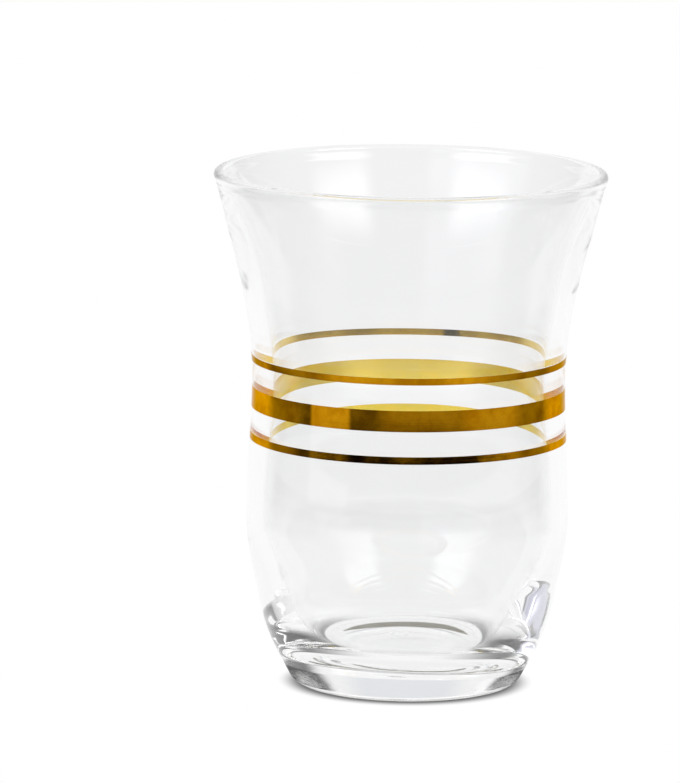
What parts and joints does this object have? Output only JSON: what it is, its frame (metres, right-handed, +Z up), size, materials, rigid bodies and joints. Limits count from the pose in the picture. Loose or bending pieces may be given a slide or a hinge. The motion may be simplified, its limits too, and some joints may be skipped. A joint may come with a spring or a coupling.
{
  "type": "moroccan tea glass",
  "caption": "Clear glass tea tumbler with a flared mouth, drawn-in waist, round belly, heavy floor and fired gold lines round the waist.",
  "frame": {"origin": "middle of the foot, on the surface that the glass stands on", "axes": "+Z up along the glass's own axis; X and Y are alike, because the glass is a body of revolution"},
  "size_m": [0.0636, 0.0636, 0.084],
  "materials": {
    "clear_glass": "clear, fire polished",
    "fired_gold": "bright fired gold, slightly uneven"
  },
  "bodies": {
    "root": {"glass_body": "clear_glass", "upper_gold_line": "fired_gold", "wide_gold_band": "fired_gold", "lower_gold_line": "fired_gold"}
  },
  "joints": []
}
